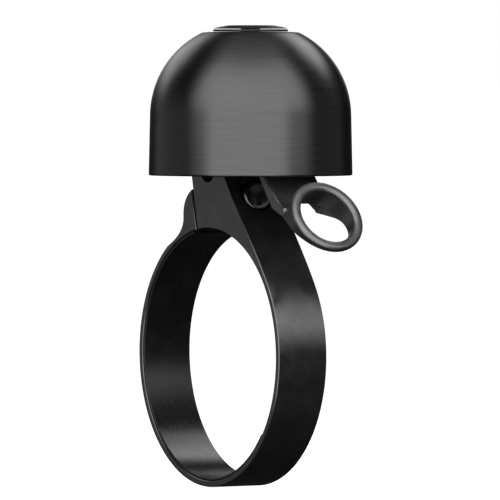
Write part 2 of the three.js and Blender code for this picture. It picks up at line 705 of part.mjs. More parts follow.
addPiece("pivot_pin", pivotPin(), "steel");
addPiece("pivot_clip", pivotClip(), "steel");
addPiece("pivot_bush_near", pivotBush(-1), "brass");
addPiece("pivot_bush_far", pivotBush(1), "brass");
addPiece("return_spring", returnSpring(), "steel");
addPiece("stop_bumper", stopBumper(), "rubber");

addPiece("striker_lever", strikerLever(), "anodised");
addPiece("hammer", hammer(), "brass");
addPiece("hammer_collar", hammerCollar(), "steel");

export default group;
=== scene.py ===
"""Bicycle bell with a thumb loop: fine meshes, finishes, floor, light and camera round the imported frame.

Everything is in metres in the frame of the part: the handlebar's centre line is the Y axis, +Z is up,
and +X points towards the thumb loop. Lengths written with MM are millimetres.
"""
import json
import math

import bmesh
import bpy
from mathutils import Matrix, Vector

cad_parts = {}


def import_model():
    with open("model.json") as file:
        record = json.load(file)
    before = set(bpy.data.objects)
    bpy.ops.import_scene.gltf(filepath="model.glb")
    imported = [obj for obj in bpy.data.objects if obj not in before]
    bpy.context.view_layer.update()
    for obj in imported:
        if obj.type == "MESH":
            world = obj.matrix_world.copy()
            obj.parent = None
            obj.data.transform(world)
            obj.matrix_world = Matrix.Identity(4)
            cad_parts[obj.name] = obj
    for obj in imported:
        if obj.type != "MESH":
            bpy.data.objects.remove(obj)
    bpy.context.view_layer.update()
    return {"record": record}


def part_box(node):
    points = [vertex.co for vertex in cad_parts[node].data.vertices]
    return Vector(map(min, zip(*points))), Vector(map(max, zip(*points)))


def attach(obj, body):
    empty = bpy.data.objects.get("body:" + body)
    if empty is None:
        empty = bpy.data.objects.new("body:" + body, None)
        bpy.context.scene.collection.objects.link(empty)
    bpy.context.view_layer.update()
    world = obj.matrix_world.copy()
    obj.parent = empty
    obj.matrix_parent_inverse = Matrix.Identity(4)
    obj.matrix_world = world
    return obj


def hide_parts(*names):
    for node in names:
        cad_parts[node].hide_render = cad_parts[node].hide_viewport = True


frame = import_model()

# ---------------------------------------------------------------- places and sizes from the frame

MM = 0.001
RECORD = frame["record"]
BODY_OF = {node: body for body, nodes in RECORD["behaviour"]["bodies"].items() for node in nodes}
PIVOT = Vector(RECORD["behaviour"]["joints"][0]["pos_m"])

X_AXIS = Vector((1, 0, 0))
Y_AXIS = Vector((0, 1, 0))
Z_AXIS = Vector((0, 0, 1))


def middle(node):
    low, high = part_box(node)
    return (Vector(low) + Vector(high)) / 2


def span(node, axis):
    low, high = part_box(node)
    return low[axis], high[axis]


DOME_AXIS = Vector((middle("bell_dome").x, 0, 0))
RIM_Z, CROWN_Z = span("bell_dome", 2)
RIM_RADIUS = (span("bell_dome", 0)[1] - span("bell_dome", 0)[0]) / 2
HALF_WIDTH = span("clamp_body", 1)[1]
BAND_RADIUS = -span("clamp_body", 0)[0]
TOWER_TOP = span("clamp_body", 2)[1]

# ---------------------------------------------------------------- mesh helpers

POLE_RADIUS = 1e-7


def rounded(corners, closed=False, steps=4):
    """A 2-D outline from (a, b, radius) corners in metres, each corner turned by a short curve."""
    points = []
    count = len(corners)
    for i, (a, b, radius) in enumerate(corners):
        here = Vector((a, b))
        if radius <= 0 or (not closed and i in (0, count - 1)):
            points.append(here)
            continue
        before = Vector(corners[i - 1][:2]) - here
        after = Vector(corners[(i + 1) % count][:2]) - here
        half = before.angle(after) / 2
        reach = min(radius / math.tan(half), 0.48 * before.length, 0.48 * after.length)
        start = here + before.normalized() * reach
        end = here + after.normalized() * reach
        for k in range(steps + 1):
            t = k / steps
            points.append(start * (1 - t) ** 2 + here * 2 * t * (1 - t) + end * t ** 2)
    return points


def outline_2d(pairs):
    return [Vector(pair) for pair in pairs]


def arc(centre, radius, start, end, steps):
    """Points on a circle, angles in degrees."""
    angles = [math.radians(start + (end - start) * i / steps) for i in range(steps + 1)]
    return [Vector((centre[0] + radius * math.cos(a), centre[1] + radius * math.sin(a))) for a in angles]


def bezier(ends, steps):
    """Points on a quadratic or cubic curve through 2-D control points."""
    ends = [Vector(p) for p in ends]
    points = []
    for i in range(steps + 1):
        t = i / steps
        level = ends
        while len(level) > 1:
            level = [a.lerp(b, t) for a, b in zip(level, level[1:])]
        points.append(level[0])
    return points


def spline(corners, steps):
    """A Catmull-Rom curve through 2-D points."""
    corners = [Vector(c) for c in corners]
    padded = [corners[0] * 2 - corners[1], *corners, corners[-1] * 2 - corners[-2]]
    points = []
    for a, b, c, d in zip(padded, padded[1:], padded[2:], padded[3:]):
        for i in range(steps):
            t = i / steps
            even = (2 * a - 5 * b + 4 * c - d) * t * t
            points.append((2 * b + (c - a) * t + even + (3 * b - a - 3 * c + d) * t ** 3) / 2)
    return [*points, corners[-1]]


def grid_faces(bm, rings, closed_rings=True, closed_grid=False):
    """Quads between rows of vertices; a row of one vertex is a pole."""
    rows = list(zip(rings, rings[1:]))
    if closed_grid:
        rows.append((rings[-1], rings[0]))
    for low, high in rows:
        count = max(len(low), len(high))
        for i in range(count if closed_rings else count - 1):
            j = (i + 1) % count
            corners = [low[i % len(low)], low[j % len(low)], high[j % len(high)], high[i % len(high)]]
            unique = list(dict.fromkeys(corners))
            if len(unique) > 2:
                bm.faces.new(unique)


def lathe(profile, foot, axis=Z_AXIS, sides=96):
    """A solid of revolution from (radius, height) points along axis from foot."""
    turn = Z_AXIS.rotation_difference(axis).to_matrix()
    bm = bmesh.new()
    rings = []
    for radius, height in profile:
        count = 1 if radius < POLE_RADIUS else sides
        ring = []
        for i in range(count):
            angle = 2 * math.pi * i / sides
            local = Vector((radius * math.cos(angle), radius * math.sin(angle), height))
            ring.append(bm.verts.new(foot + turn @ local))
        rings.append(ring)
    grid_faces(bm, rings, closed_grid=len(rings[0]) > 1)
    bmesh.ops.recalc_face_normals(bm, faces=bm.faces)
    return bm


def rod(foot, axis, low, high, radius, sides=64):
    profile = outline_2d([(0, low), (radius, low), (radius, high), (0, high)])
    return lathe(profile, foot, axis, sides)


def washer_profile(hole, radius, low, high, edge):
    """A flat ring with eased edges."""
    corners = [(hole, low, edge), (radius, low, edge), (radius, high, edge), (hole, high, edge)]
    return rounded(corners, closed=True, steps=3)


def offset(outline, distance):
    """An outline moved inwards by distance, each point along its own normal."""
    count = len(outline)
    area = sum(a.x * b.y - b.x * a.y for a, b in zip(outline, outline[1:] + outline[:1]))
    side = 1 if area > 0 else -1
    moved = []
    for i, here in enumerate(outline):
        before = (here - outline[i - 1]).normalized()
        after = (outline[(i + 1) % count] - here).normalized()
        along = (before + after).normalized()
        stretch = 1 / max(0.5, along.dot(after))
        moved.append(here + Vector((-along.y, along.x)) * side * distance * stretch)
    return moved


def plate(outline, low_y, high_y, edge, steps=3):
    """A plate with its outline in X and Z, with rounded edges, from one Y to another."""
    near = []
    for i in range(steps + 1):
        angle = math.pi / 2 * (steps - i) / steps
        near.append((low_y + edge * (1 - math.sin(angle)), edge * (1 - math.cos(angle))))
    far = [(high_y + low_y - y, inset) for y, inset in reversed(near)]
    bm = bmesh.new()
    rings = []
    for y, inset in near + far:
        ring = offset(outline, inset) if inset > 0 else outline
        rings.append([bm.verts.new((p.x, y, p.y)) for p in ring])
    grid_faces(bm, rings)
    bm.faces.new(rings[0])
    bm.faces.new(rings[-1])
    bmesh.ops.recalc_face_normals(bm, faces=bm.faces)
    return bm


def as_object(name, bm):
    mesh = bpy.data.meshes.new(name)
    bm.to_mesh(mesh)
    bm.free()
    obj = bpy.data.objects.new(name, mesh)
    bpy.context.scene.collection.objects.link(obj)
    return obj


def apply_modifiers(obj):
    bpy.context.view_layer.update()
    mesh = bpy.data.meshes.new_from_object(obj.evaluated_get(bpy.context.evaluated_depsgraph_get()))
    obj.modifiers.clear()
    obj.data = mesh


def combine(obj, operation, others):
    """Joins or cuts obj with bmesh solids."""
    for i, bm in enumerate(others):
        other = as_object(f"{obj.name}_tool_{i}", bm)
        modifier = obj.modifiers.new("cut", "BOOLEAN")
        modifier.operation = operation
        modifier.solver = "EXACT"
        modifier.object = other
        apply_modifiers(obj)
        bpy.data.objects.remove(other)


def shade(obj, angle=32):
    """Smooth shading that breaks at edges sharper than angle."""
    bm = bmesh.new()
    bm.from_mesh(obj.data)
    bmesh.ops.remove_doubles(bm, verts=bm.verts, dist=POLE_RADIUS)
    limit = math.radians(angle)
    for face in bm.faces:
        face.smooth = True
    for edge in bm.edges:
        edge.smooth = not (len(edge.link_faces) == 2 and edge.calc_face_angle(0) > limit)
    bm.to_mesh(obj.data)
    bm.free()
    weigh = obj.modifiers.new("weigh", "WEIGHTED_NORMAL")
    weigh.keep_sharp = True


def stand_for(obj, node, material, angle=32):
    """Finishes a piece that replaces one CAD node and moves with its body."""
    shade(obj, angle)
    obj.data.materials.clear()
    obj.data.materials.append(material)
    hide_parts(node)
    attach(obj, BODY_OF[node])


def turned_piece(name, node, profile, foot, material, axis=Z_AXIS, sides=96):
    obj = as_object(name, lathe(profile, foot, axis, sides))
    stand_for(obj, node, material)


# ---------------------------------------------------------------- materials

LINE_CONE = 0.8
LINE_BREAKS = 1.6
HIGHLIGHT_STRETCH = 0.75
HIGHLIGHT_TURN = 0.25
TURNED_EDGE = 0.18 * MM
BLASTED_EDGE = 0.22 * MM


class Finish:
    """A material with a short way to add and join nodes."""

    def __init__(self, name):
        self.material = bpy.data.materials.new(name)
        self.material.use_nodes = True
        self.tree = self.material.node_tree
        self.shader = self.tree.nodes["Principled BSDF"]
        self.place = self.node("ShaderNodeTexCoord").outputs["Object"]

    def node(self, kind, inputs=None, **settings):
        made = self.tree.nodes.new(kind)
        for key, value in settings.items():
            setattr(made, key, value)
        for key, value in (inputs or {}).items():
            if isinstance(value, bpy.types.NodeSocket):
                self.tree.links.new(value, made.inputs[key])
            else:
                made.inputs[key].default_value = value
        return made

    def noise(self, scale, detail=4, roughness=0.5, vector=None):
        inputs = {"Vector": vector or self.place, "Scale": scale, "Detail": detail, "Roughness": roughness}
        return self.node("ShaderNodeTexNoise", inputs).outputs[0]

    def remap(self, value, low, high, start=0.3, end=0.7):
        inputs = {"Value": value, "From Min": start, "From Max": end, "To Min": low, "To Max": high}
        return self.node("ShaderNodeMapRange", inputs).outputs["Result"]

    def math(self, operation, a, b=0.0):
        return self.node("ShaderNodeMath", {0: a, 1: b}, operation=operation).outputs[0]

    def ramp(self, factor, low, high, start=0.3, end=0.7):
        ramp = self.node("ShaderNodeValToRGB", {"Fac": factor})
        ramp.color_ramp.elements[0].position = start
        ramp.color_ramp.elements[1].position = end
        ramp.color_ramp.elements[0].color = (*low, 1)
        ramp.color_ramp.elements[1].color = (*high, 1)
        return ramp.outputs["Color"]

    def convex_edge_mask(self, width):
        """1 on convex edges, 0 on flat faces."""
        bevel = self.node("ShaderNodeBevel", {"Radius": width}, samples=4).outputs["Normal"]
        plain = self.node("ShaderNodeNewGeometry").outputs["Normal"]
        product = self.node("ShaderNodeVectorMath", {0: bevel, 1: plain}, operation="DOT_PRODUCT")
        return self.remap(product.outputs["Value"], 1.0, 0.0, 0.85, 0.995)

    def blend(self, factor, a, b):
        mix = self.node("ShaderNodeMix", {0: factor}, data_type="RGBA")
        for index, value in ((6, a), (7, b)):
            if isinstance(value, bpy.types.NodeSocket):
                self.tree.links.new(value, mix.inputs[index])
            else:
                mix.inputs[index].default_value = (*value, 1)
        return mix.outputs[2]

    def bump(self, height, distance, strength=1.0, under=None):
        inputs = {"Height": height, "Distance": distance, "Strength": strength}
        if under is not None:
            inputs["Normal"] = under
        return self.node("ShaderNodeBump", inputs).outputs["Normal"]

    def finish(self, **sockets):
        for name, value in sockets.items():
            socket = self.shader.inputs[name.replace("_", " ")]
            if isinstance(value, bpy.types.NodeSocket):
                self.tree.links.new(value, socket)
            else:
                socket.default_value = value
        return self.material


def grey(value, warmth=0.0):
    return (value * (1 + warmth), value, value * (1 - warmth))


def turned_lines(finish, centre, across):
    """Noise coordinates that draw fine lines round a turned piece; across sets how close they lie."""
    local = finish.node("ShaderNodeVectorMath", {0: finish.place, 1: tuple(-centre)}, operation="ADD")
    parts = finish.node("ShaderNodeSeparateXYZ", {0: local.outputs[0]})
    flat = finish.node("ShaderNodeCombineXYZ", {0: parts.outputs[0], 1: parts.outputs[1]}).outputs[0]
    radius = finish.node("ShaderNodeVectorMath", {0: flat}, operation="LENGTH").outputs["Value"]
    slope = finish.math("SUBTRACT", parts.outputs[2], finish.math("MULTIPLY", radius, LINE_CONE))
    angle = finish.math("ARCTAN2", parts.outputs[1], parts.outputs[0])
    inputs = {0: finish.math("MULTIPLY", slope, across), 1: finish.math("MULTIPLY", angle, LINE_BREAKS)}
    return finish.node("ShaderNodeCombineXYZ", inputs).outputs[0]


def turned_black(name, centre, base, rough, lines=9000, depth=4e-6):
    """Black coated metal with fine turned lines and a stretched highlight."""
    f = Finish(name)
    path = turned_lines(f, centre, lines)
    fine = f.noise(1.0, detail=3, roughness=0.65, vector=path)
    broad = f.noise(60, detail=3)
    colour = f.blend(f.remap(fine, 0, 1, 0.35, 0.65), grey(base * 0.86), grey(base * 1.16, 0.01))
    colour = f.blend(f.remap(broad, 0, 0.35), colour, grey(base * 0.9))
    worn = f.convex_edge_mask(TURNED_EDGE)
    colour = f.blend(f.math("MULTIPLY", worn, 0.35), colour, grey(base * 2.2))
    roughness = f.math("ADD", f.remap(fine, rough - 0.05, rough + 0.06), f.remap(broad, -0.015, 0.015))
    tangent = f.node("ShaderNodeTangent", direction_type="RADIAL", axis="Z").outputs[0]
    return f.finish(Base_Color=colour, Metallic=1.0, Roughness=roughness, Tangent=tangent,
                    Anisotropic=HIGHLIGHT_STRETCH, Anisotropic_Rotation=HIGHLIGHT_TURN,
                    Normal=f.bump(fine, depth, 0.5))


def blasted_black(name, base, rough, grain=5200, depth=9e-6, metallic=0.9):
    """Black anodised or coated metal with a fine blasted grain; its convex edges are painted slightly
    lighter, partly as bare-metal wear and partly as a painted highlight.
    """
    f = Finish(name)
    grit = f.noise(grain, detail=2, roughness=0.7)
    mottle = f.noise(420, detail=5, roughness=0.6)
    broad = f.noise(90, detail=2)
    colour = f.ramp(mottle, grey(base * 0.82), grey(base * 1.2, 0.008), 0.35, 0.68)
    colour = f.blend(f.remap(grit, 0, 0.5), colour, grey(base * 1.5))
    # Convex edges painted lighter: partly bare-metal wear, partly a painted highlight where the chamfers
    # catch the light.
    colour = f.blend(f.math("MULTIPLY", f.convex_edge_mask(BLASTED_EDGE), 0.5), colour, grey(base * 2.6))
    roughness = f.math("ADD", f.remap(mottle, rough - 0.05, rough + 0.05), f.remap(broad, -0.03, 0.03))
    under = f.bump(mottle, depth * 0.6, 0.35)
    return f.finish(Base_Color=colour, Metallic=metallic, Roughness=roughness,
                    Normal=f.bump(grit, depth, 0.55, under))


def bright_metal(name, colour, rough, centre, lines=7000):
    """Bare turned steel or brass with fine lines, faint stains and handling marks."""
    f = Finish(name)
    fine = f.noise(1.0, detail=3, roughness=0.6, vector=turned_lines(f, centre, lines))
    stain = f.noise(700, detail=5, roughness=0.65)
    dark = tuple(c * 0.62 for c in colour)
    tone = f.ramp(stain, dark, colour, 0.32, 0.6)
    tone = f.blend(f.remap(fine, 0, 0.4), tone, tuple(min(1, c * 1.25) for c in colour))
    roughness = f.math("ADD", f.remap(stain, rough + 0.1, rough - 0.04), f.remap(fine, -0.04, 0.05))
    return f.finish(Base_Color=tone, Metallic=1.0, Roughness=roughness, Normal=f.bump(fine, 4e-6, 0.5))


def soft_black(name, base, rough, grain=2600, ior=1.5):
    """Rubber or nylon: a dull skin with moulded grain and dust in the low places."""
    f = Finish(name)
    skin = f.noise(grain, detail=5, roughness=0.7)
    dust = f.noise(300, detail=4)
    colour = f.ramp(dust, grey(base), grey(base * 1.9, 0.03), 0.45, 0.75)
    colour = f.blend(f.remap(skin, 0, 0.5), colour, grey(base * 1.4))
    return f.finish(Base_Color=colour, IOR=ior, Roughness=f.remap(skin, rough - 0.08, rough + 0.1),
                    Normal=f.bump(skin, 1.2e-5, 0.6))


STEEL_COLOUR = (0.46, 0.47, 0.49)
PIN_COLOUR = (0.42, 0.43, 0.45)
SPRING_COLOUR = (0.3, 0.3, 0.32)
BRASS_COLOUR = (0.62, 0.44, 0.19)
DOME_MATERIAL = turned_black("dome_black", DOME_AXIS, base=0.125, rough=0.3)
CROWN_MATERIAL = turned_black("crown_black", DOME_AXIS, base=0.12, rough=0.34, lines=7000)
CLAMP_MATERIAL = blasted_black("clamp_anodised", base=0.15, rough=0.19)
LEVER_MATERIAL = blasted_black("lever_blasted", base=0.2, rough=0.34, grain=4300)
SCREW_MATERIAL = blasted_black("screw_oxide", base=0.12, rough=0.26, grain=6500, depth=4e-6, metallic=1.0)
STEEL_MATERIAL = bright_metal("steel_turned", STEEL_COLOUR, rough=0.28, centre=DOME_AXIS)
PIN_MATERIAL = bright_metal("steel_pin", PIN_COLOUR, rough=0.24, centre=PIVOT)
SPRING_MATERIAL = bright_metal("spring_wire", SPRING_COLOUR, rough=0.3, centre=PIVOT)
BRASS_MATERIAL = bright_metal("brass_turned", BRASS_COLOUR, rough=0.3, centre=PIVOT)
RUBBER_MATERIAL = soft_black("rubber_black", base=0.012, rough=0.6)
LINER_MATERIAL = soft_black("liner_smooth", base=0.01, rough=0.2, grain=3200, ior=1.7)
NYLON_MATERIAL = soft_black("nylon_black", base=0.016, rough=0.45, grain=3800)

# ---------------------------------------------------------------- dome, crown screw and post

WALL = 1.5 * MM
WAIST_Z = 30 * MM
WAIST_RADIUS = 12.65 * MM
SHOULDER_RADIUS = 11.68 * MM
CREASE_Z = 40.5 * MM
DOME_HOLE = 2.2 * MM
RIM_EDGE = 0.24 * MM
FINE_EDGE = 0.1 * MM
SKIRT = 4 * MM
CREASE_RUN = 0.7 * MM
CREASE_SAG = 0.02 * MM
CROWN_FLAT = 4.6 * MM
HEAD_FOOT = 41 * MM
HEAD_RADIUS = 4.6 * MM
HEAD_LAND = 3.95 * MM
HEAD_LAND_RISE = 0.21 * MM
HEAD_TOP_RADIUS = 2.8 * MM
CROWN_SHANK = 1.2 * MM
CROWN_KEY = 1.0 * MM
CROWN_KEY_DEPTH = 1.2 * MM
CROWN_KEY_CHAMFER = 0.12 * MM
POST_SHELF = 36.35 * MM
POST_TAP_FOOT = 35.3 * MM
NUT_CORNER = 2.85 * MM
NUT_FACE = 2.62 * MM
NUT_EDGE = 0.22 * MM
NUT_HOLE = 2.0 * MM


def shoulder(radius, top, steps):
    """The dome's curve from its waist up to the height top."""
    centre = (WAIST_RADIUS - SHOULDER_RADIUS, WAIST_Z)
    return arc(centre, radius, 0, math.degrees(math.asin((top - WAIST_Z) / radius)), steps)


def dome_profile():
    """The dome's wall, round from the rim over the crown and back inside."""
    rim_inner = RIM_RADIUS - WALL
    inner_top = CROWN_Z - WALL
    rim = rounded([
        (rim_inner, RIM_Z + SKIRT, 0),
        (rim_inner, RIM_Z, RIM_EDGE),
        (RIM_RADIUS, RIM_Z, RIM_EDGE),
        (RIM_RADIUS, RIM_Z + SKIRT, 0),
    ], steps=6)[1:-1]
    outer = shoulder(SHOULDER_RADIUS, CREASE_Z, 56)
    last = outer[-1]
    crown = bezier([last, (last.x - CREASE_RUN, CROWN_Z - CREASE_SAG), (CROWN_FLAT, CROWN_Z)], 6)[1:]
    hole = rounded([
        (SKIRT, CROWN_Z, 0),
        (DOME_HOLE, CROWN_Z, FINE_EDGE),
        (DOME_HOLE, inner_top, FINE_EDGE),
        (SKIRT, inner_top, 0),
    ], steps=3)[1:-1]
    inner = shoulder(SHOULDER_RADIUS - WALL, inner_top, 40)[::-1]
    return [*rim, *outer, *crown, *hole, *inner]


def crown_screw():
    low, top = span("crown_screw", 2)
    profile = rounded([
        (0, low, 0),
        (CROWN_SHANK, low, 0.25 * MM),
        (CROWN_SHANK, HEAD_FOOT, 0.05 * MM),
        (HEAD_RADIUS - 0.06 * MM, HEAD_FOOT, 0.03 * MM),
        (HEAD_RADIUS, HEAD_FOOT + 0.05 * MM, 0.04 * MM),
        (HEAD_LAND, HEAD_FOOT + HEAD_LAND_RISE, 1.2 * MM),
        (HEAD_TOP_RADIUS, top - 0.01 * MM, 0.9 * MM),
        (0, top, 0),
    ], steps=8)
    obj = as_object("crown_screw_fine", lathe(profile, DOME_AXIS, sides=160))
    floor_z = top - CROWN_KEY_DEPTH
    socket = outline_2d([(0, floor_z), (CROWN_KEY, floor_z), (CROWN_KEY, top + MM), (0, top + MM)])
    foot = top - CROWN_KEY_CHAMFER
    mouth = top + 0.13 * MM
    chamfer = outline_2d([(0, foot), (CROWN_KEY, foot), (CROWN_KEY + 0.25 * MM, mouth), (0, mouth)])
    combine(obj, "DIFFERENCE", [lathe(socket, DOME_AXIS, sides=6), lathe(chamfer, DOME_AXIS, sides=48)])
    stand_for(obj, "crown_screw", CROWN_MATERIAL)


def dome_stack():
    """The dome and all the turned pieces on its axis."""
    turned_piece("bell_dome_fine", "bell_dome", dome_profile(), DOME_AXIS, DOME_MATERIAL, sides=256)
    crown_screw()
    # Hole, radius and edge of each, in millimetres.
    rings = {
        "crown_gasket": (1.3, 4.7, 0.06, NYLON_MATERIAL),
        "crown_bushing": (1.3, 2.1, 0.15, NYLON_MATERIAL),
        "dome_isolator": (1.3, 2.9, 0.2, RUBBER_MATERIAL),
        "post_lock_washer": (2.0, 2.7, 0.04, STEEL_MATERIAL),
    }
    for node, (hole, radius, edge, material) in rings.items():
        low, high = span(node, 2)
        profile = washer_profile(hole * MM, radius * MM, low, high, edge * MM)
        turned_piece(f"{node}_fine", node, profile, DOME_AXIS, material)
    low, high = span("dome_post", 2)
    stud = 1.9 * MM
    head = 2.6 * MM
    tap = 1.3 * MM
    post = rounded([
        (0, low, 0),
        (stud, low, 0.3 * MM),
        (stud, POST_SHELF, 0.05 * MM),
        (head, POST_SHELF, 0.12 * MM),
        (head, high, 0.25 * MM),
        (tap, high, 0.15 * MM),
        (tap, POST_TAP_FOOT, 0),
        (0, POST_TAP_FOOT, 0),
    ])
    turned_piece("dome_post_fine", "dome_post", post, DOME_AXIS, STEEL_MATERIAL)


def locknut():
    low, high = span("post_locknut", 2)
    obj = as_object("post_locknut_fine", rod(DOME_AXIS, Z_AXIS, low, high, NUT_CORNER, 6))
    waist = NUT_FACE + NUT_EDGE
    shell = rounded([
        (0, low, 0),
        (NUT_FACE, low, 0),
        (waist, low + NUT_EDGE, FINE_EDGE),
        (waist, high - NUT_EDGE, FINE_EDGE),
        (NUT_FACE, high, 0),
        (0, high, 0),
    ])
    combine(obj, "INTERSECT", [lathe(shell, DOME_AXIS, sides=96)])
    combine(obj, "DIFFERENCE", [rod(DOME_AXIS, Z_AXIS, low - MM, high + MM, NUT_HOLE)])
    stand_for(obj, "post_locknut", STEEL_MATERIAL)


# ---------------------------------------------------------------- clamp

BORE_RADIUS = 15.9 * MM
TOWER_RIGHT = 3.9 * MM
TOWER_NECK = 22.6 * MM
FLARE_ANGLE = 34
FLARE_HANDLE = 7 * MM
SPLIT_TOP = Vector((-3.97 * MM, 22.4 * MM))
SPLIT_FOOT_X = -2.5 * MM
SPLIT_FOOT_Z = 15.7 * MM
SPLIT_GAP = 0.35 * MM
EAR_ANGLE = 126
EAR_FOOT_PULL = (-6.2 * MM, 15.1 * MM)
EAR_SIDE_FOOT = (-6.0 * MM, 16.9 * MM)
EAR_SIDE_TOP = (-6.0 * MM, 17.6 * MM)
EAR_TOP_PULL = (-5.95 * MM, 19.7 * MM)
EAR_TIP = (-3.62 * MM, 20.75 * MM)
FLARE_PULL = (6.2 * MM, 18.8 * MM)
BOLT_HEAD = Vector((6.3 * MM, 0, 20.2 * MM))
BOLT_LEAN = math.atan2(SPLIT_FOOT_X - SPLIT_TOP.x, SPLIT_TOP.y - SPLIT_FOOT_Z)
BOLT_AXIS = Vector((math.cos(BOLT_LEAN), 0, math.sin(BOLT_LEAN)))
CROSS_HOLE = Vector((-0.1 * MM, 0, 23.4 * MM))
CLAMP_EDGE = 0.16 * MM
COUNTERBORE_FOOT = -3.1 * MM
COUNTERBORE_RADIUS = 2.2 * MM
INSERT_SEAT = -9.9 * MM
INSERT_PLAY = 0.2 * MM
INSERT_HOLE_RADIUS = 1.8 * MM
BOLT_PASSAGE = 1.35 * MM
CROSS_DEPTH = 1.6 * MM
CROSS_RADIUS = 1.65 * MM
CROSS_MOUTH_RADIUS = 1.92 * MM
CROSS_MOUTH_DEPTH = 0.12 * MM
CROSS_PASSAGE = 1.0 * MM
POCKET_RIGHT = 2.2 * MM
POCKET_HALF = 1.5 * MM
POCKET_PLAY = 0.3 * MM
LINER_START = 104
LINER_END = 322
LINER_PLAY = 0.05 * MM
LINER_DEPTH = 0.3 * MM


def on_circle(radius, degrees):
    return Vector((radius * math.cos(math.radians(degrees)), radius * math.sin(math.radians(degrees))))


def on_bore(x):
    return Vector((x, math.sqrt(BORE_RADIUS ** 2 - x ** 2)))


def clamp_outline():
    """The clamp from the side: tower, flare, band, ear and bore, with the slanted split."""
    shift = SPLIT_GAP / math.cos(BOLT_LEAN)
    flare_end = on_circle(BAND_RADIUS, FLARE_ANGLE)
    tangent = Vector((math.sin(math.radians(FLARE_ANGLE)), -math.cos(math.radians(FLARE_ANGLE))))
    flare_pull = flare_end - tangent * FLARE_HANDLE
    flare = bezier([(TOWER_RIGHT, TOWER_NECK), FLARE_PULL, flare_pull, flare_end], 40)
    band = arc((0, 0), BAND_RADIUS, FLARE_ANGLE, EAR_ANGLE - 360, 220)[1:-1]
    ear_foot = bezier([on_circle(BAND_RADIUS, EAR_ANGLE), EAR_FOOT_PULL, EAR_SIDE_FOOT], 16)
    ear_top = bezier([EAR_SIDE_TOP, EAR_TOP_PULL, (EAR_TIP[0] - shift, EAR_TIP[1])], 18)
    tower = [on_bore(SPLIT_FOOT_X), SPLIT_TOP]
    tower += outline_2d([(SPLIT_TOP.x, TOWER_TOP), (TOWER_RIGHT, TOWER_TOP)])
    split_foot = on_bore(SPLIT_FOOT_X - shift)
    start = math.degrees(math.atan2(split_foot.y, split_foot.x))
    end = math.degrees(math.atan2(tower[0].y, tower[0].x)) + 360
    bore = arc((0, 0), BORE_RADIUS, start, end, 280)[:-1]
    return [*tower, *flare, *band, *ear_foot, *ear_top, *bore]


def box_solid(low, high):
    bm = bmesh.new()
    size = [high[i] - low[i] for i in range(3)]
    centre = [(high[i] + low[i]) / 2 for i in range(3)]
    bmesh.ops.create_cube(bm, size=1, matrix=Matrix.Translation(centre) @ Matrix.Diagonal((*size, 1)))
    return bm


def clamp_body():
    obj = as_object("clamp_body_fine", plate(clamp_outline(), -HALF_WIDTH, HALF_WIDTH, CLAMP_EDGE))
    outside = -HALF_WIDTH - 0.15 * MM
    mouth = -HALF_WIDTH + CROSS_MOUTH_DEPTH
    recess = -HALF_WIDTH + CROSS_DEPTH
    sink = outline_2d([(0, outside), (CROSS_MOUTH_RADIUS, outside), (CROSS_RADIUS, mouth),
                       (CROSS_RADIUS, recess), (0, recess)])
    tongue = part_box("inner_bracket")[0]
    pocket_low = (tongue[0] - POCKET_PLAY, -POCKET_HALF, tongue[2] - POCKET_PLAY)
    pocket_high = (POCKET_RIGHT, POCKET_HALF, TOWER_TOP + MM)
    cuts = [
        rod(BOLT_HEAD, BOLT_AXIS, COUNTERBORE_FOOT, 6 * MM, COUNTERBORE_RADIUS),
        rod(BOLT_HEAD, BOLT_AXIS, INSERT_SEAT, 0, BOLT_PASSAGE),
        rod(BOLT_HEAD, BOLT_AXIS, -16 * MM, INSERT_SEAT + INSERT_PLAY, INSERT_HOLE_RADIUS),
        box_solid(pocket_low, pocket_high),
        lathe(sink, CROSS_HOLE, Y_AXIS, 64),
        rod(CROSS_HOLE, Y_AXIS, -HALF_WIDTH, HALF_WIDTH + MM, CROSS_PASSAGE),
    ]
    combine(obj, "DIFFERENCE", cuts)
    stand_for(obj, "clamp_body", CLAMP_MATERIAL)


def clamp_liner():
    outer = arc((0, 0), BORE_RADIUS - LINER_PLAY, LINER_START, LINER_END, 180)
    inner = arc((0, 0), BORE_RADIUS - LINER_DEPTH, LINER_END, LINER_START, 180)
    half = span("clamp_liner", 1)[1]
    obj = as_object("clamp_liner_fine", plate([*outer, *inner], -half, half, 0.06 * MM))
    stand_for(obj, "clamp_liner", LINER_MATERIAL)


def socket_screw(name, node, foot, axis, corners, key, depth, sides=96):
    """A turned screw with a hexagon socket in its head; corners run from the tip to the head's face."""
    obj = as_object(name, lathe(rounded(corners, steps=5), foot, axis, sides))
    face = corners[-1][1]
    below = face - 0.1 * MM
    above = face + 0.14 * MM
    narrow = key * 0.95
    flare = outline_2d([(0, below), (narrow, below), (narrow + above - below, above), (0, above)])
    socket = rod(foot, axis, face - depth, face + MM, key, 6)
    combine(obj, "DIFFERENCE", [socket, lathe(flare, foot, axis, 48)])
    stand_for(obj, node, SCREW_MATERIAL)


def clamp_bolt():
    seat = -2.3 * MM
    tip = seat - 9.6 * MM
    shank = 1.2 * MM
    head = 2.0 * MM
    key = 1.4 * MM
    corners = [
        (0, tip, 0),
        (shank, tip, 0.3 * MM),
        (shank, seat, 0.05 * MM),
        (head, seat, 0.06 * MM),
        (head, 0, 0.4 * MM),
        (0, 0, 0),
    ]
    socket_screw("clamp_bolt_fine", "clamp_bolt", BOLT_HEAD, BOLT_AXIS, corners, key, depth=key)


def bracket_screw():
    face, tip = span("bracket_screw", 1)
    under = face + 0.55 * MM
    shank = 0.9 * MM
    head = 1.5 * MM
    corners = [
        (0, -tip, 0),
        (shank, -tip, 0.2 * MM),
        (shank, -under, 0.05 * MM),
        (head, -under, 0.05 * MM),
        (head, -face, 0.25 * MM),
        (0, -face, 0),
    ]
    socket_screw("bracket_screw_fine", "bracket_screw", CROSS_HOLE, -Y_AXIS, corners, 0.75 * MM, 0.35 * MM)


